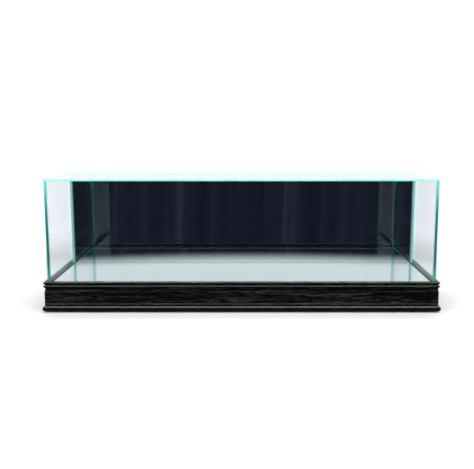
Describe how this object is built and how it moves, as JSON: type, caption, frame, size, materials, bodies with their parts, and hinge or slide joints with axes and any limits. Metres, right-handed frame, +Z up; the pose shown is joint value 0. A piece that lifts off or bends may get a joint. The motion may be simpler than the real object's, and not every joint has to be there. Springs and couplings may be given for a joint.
{
  "type": "collectible display case",
  "caption": "Low rectangular glass display case: lift-off clear cover with a mirrored back, on a black moulded wooden base with a mirror floor.",
  "frame": {"origin": "centre of the footprint on the surface that the case stands on", "axes": "+X along the length to the viewer's right, the clear front faces -Y and the mirror back is on +Y, +Z up"},
  "size_m": [0.6248, 0.1848, 0.2115],
  "materials": {
    "clear_glass": "clear polished float glass with green ground edges",
    "mirror_glass": "silvered float glass, polished",
    "mirror_coat": "matt grey protective paint on the back of the mirror",
    "clear_adhesive": "clear cured adhesive, glossy",
    "black_wood": "black open-grain stain under satin lacquer",
    "raw_pine": "planed bare softwood",
    "fibreboard": "bare medium-density fibreboard",
    "plain_steel": "bright zinc-plated steel",
    "mastic": "cured off-white mirror mastic",
    "felt": "dense black felt"
  },
  "bodies": {
    "base": {"rail_front": "black_wood", "rail_back": "black_wood", "rail_left": "black_wood", "rail_right": "black_wood", "mitre_v_nails": "plain_steel", "corner_block_front_left": "raw_pine", "corner_block_front_right": "raw_pine", "corner_block_back_left": "raw_pine", "corner_block_back_right": "raw_pine", "cleat_front": "raw_pine", "cleat_back": "raw_pine", "cleat_left": "raw_pine", "cleat_right": "raw_pine", "deck_panel": "fibreboard", "deck_screws": "plain_steel", "mirror_adhesive": "mastic", "floor_mirror": "mirror_glass", "felt_pad_front_left": "felt", "felt_pad_front_right": "felt", "felt_pad_back_left": "felt", "felt_pad_back_right": "felt"},
    "cover": {"front_glass": "clear_glass", "left_glass": "clear_glass", "right_glass": "clear_glass", "top_glass": "clear_glass", "back_mirror": "mirror_glass", "back_mirror_coat": "mirror_coat", "seam_front_left": "clear_adhesive", "seam_front_right": "clear_adhesive", "seam_back_left": "clear_adhesive", "seam_back_right": "clear_adhesive", "seam_top_front": "clear_adhesive", "seam_top_back": "clear_adhesive", "seam_top_left": "clear_adhesive", "seam_top_right": "clear_adhesive"}
  },
  "joints": [
    {"name": "cover_lift", "type": "slide", "parent": "base", "child": "cover", "axis": [0, 0, 1], "range_m": [0, 0.2]}
  ]
}
